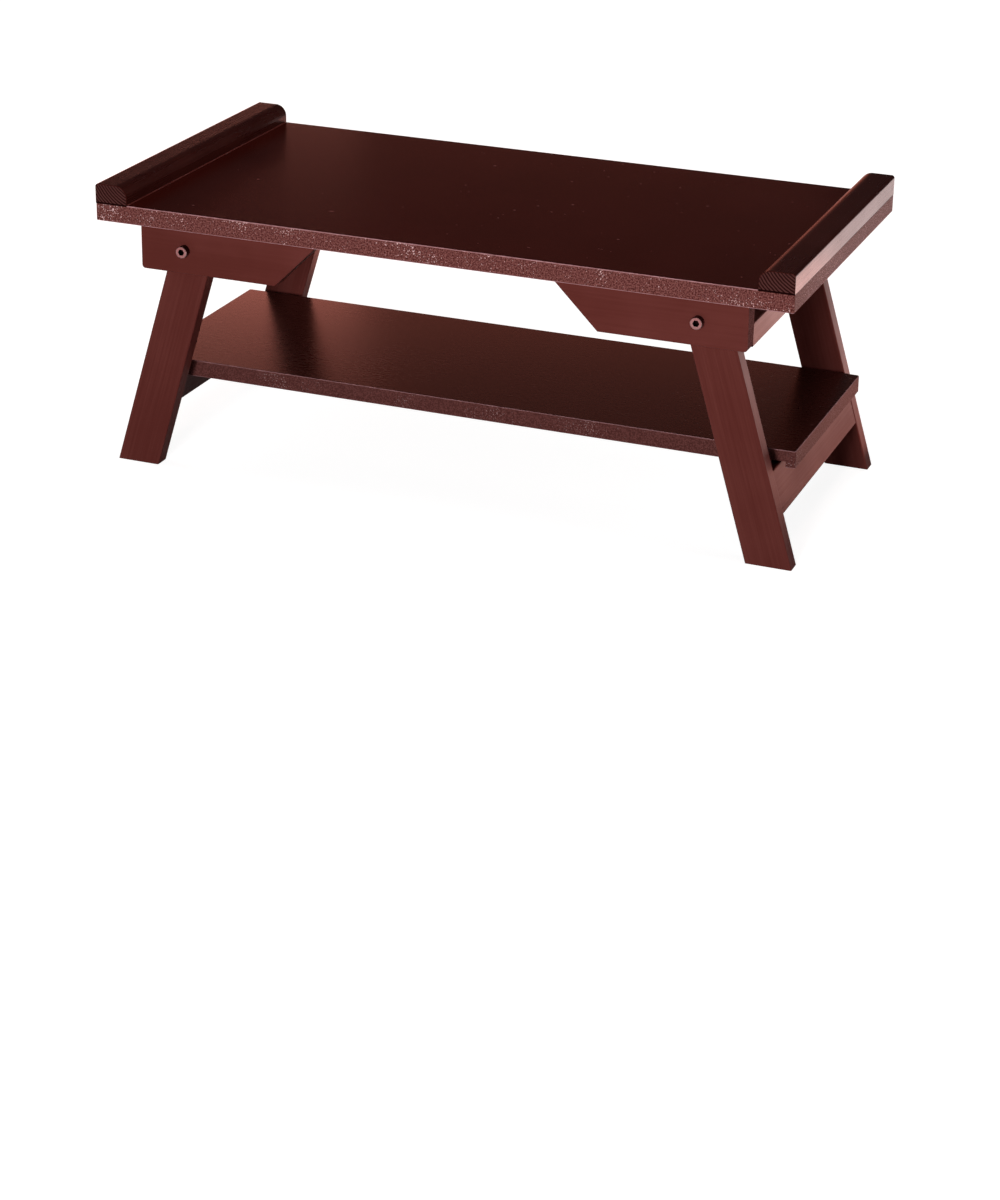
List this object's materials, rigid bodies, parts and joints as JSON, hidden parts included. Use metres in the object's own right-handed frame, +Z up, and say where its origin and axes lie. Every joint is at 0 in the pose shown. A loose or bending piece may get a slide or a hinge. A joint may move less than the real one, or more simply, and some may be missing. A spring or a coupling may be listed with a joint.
{
  "type": "folding low table",
  "caption": "Low lacquered table with raised end strips, legs that fold flat under the top and a lift-out shelf on crossbars.",
  "frame": {"origin": "on the floor under the middle of the table", "axes": "+X along the table, -Y its front, +Z up; stands open at rest"},
  "size_m": [0.6022, 0.3, 0.253],
  "materials": {
    "lacquered_laminate": "dark red-brown satin lacquer over laminated fibreboard, speckled cut edges",
    "lacquered_board": "dark red-brown satin lacquer over planed board with a faint lengthwise grain",
    "leg_wood": "dark red-brown satin lacquer over fine-grained solid wood",
    "strip_wood": "dark red-brown satin lacquer over solid wood, growth rings on the ends",
    "steel": "plated steel",
    "nylon": "black nylon ring",
    "dowel_wood": "plain beech"
  },
  "bodies": {
    "root": {"top_board": "lacquered_laminate", "left_end_strip": "strip_wood", "right_end_strip": "strip_wood", "strip_dowels": "dowel_wood", "bracket_dowels": "dowel_wood", "left_end_rail": "lacquered_board", "right_end_rail": "lacquered_board", "rail_dowels": "dowel_wood", "front_left_bracket": "lacquered_board", "front_right_bracket": "lacquered_board", "back_left_bracket": "lacquered_board", "back_right_bracket": "lacquered_board", "front_left_pivot_bolt": "steel", "front_right_pivot_bolt": "steel", "back_left_pivot_bolt": "steel", "back_right_pivot_bolt": "steel", "front_left_leg_spacer": "nylon", "front_right_leg_spacer": "nylon", "back_left_leg_spacer": "nylon", "back_right_leg_spacer": "nylon", "front_left_leg_washer": "steel", "front_right_leg_washer": "steel", "back_left_leg_washer": "steel", "back_right_leg_washer": "steel", "front_left_pivot_nut": "steel", "front_right_pivot_nut": "steel", "back_left_pivot_nut": "steel", "back_right_pivot_nut": "steel"},
    "left_legs": {"front_left_leg": "leg_wood", "back_left_leg": "leg_wood", "left_crossbar": "leg_wood", "left_crossbar_dowels": "dowel_wood"},
    "right_legs": {"front_right_leg": "leg_wood", "back_right_leg": "leg_wood", "right_crossbar": "leg_wood", "right_crossbar_dowels": "dowel_wood"},
    "shelf": {"shelf": "lacquered_laminate"}
  },
  "joints": [
    {"name": "left_leg_fold", "type": "hinge", "parent": "root", "child": "left_legs", "pos_m": [-0.22233, 0, 0.2025], "axis": [0, -1, 0], "range_deg": [0, 106.4]},
    {"name": "right_leg_fold", "type": "hinge", "parent": "root", "child": "right_legs", "pos_m": [0.22233, 0, 0.2025], "axis": [0, 1, 0], "range_deg": [0, 106.4]},
    {"name": "shelf_slide", "type": "slide", "parent": "root", "child": "shelf", "axis": [-0.9874, 0, 0.158], "range_m": [0, 0.6]}
  ],
  "couplings": [
    {"joint": "right_leg_fold", "follows": "left_leg_fold", "ratio": 1},
    {"joint": "shelf_slide", "follows": "left_leg_fold", "m_per_rad": 0.323}
  ]
}
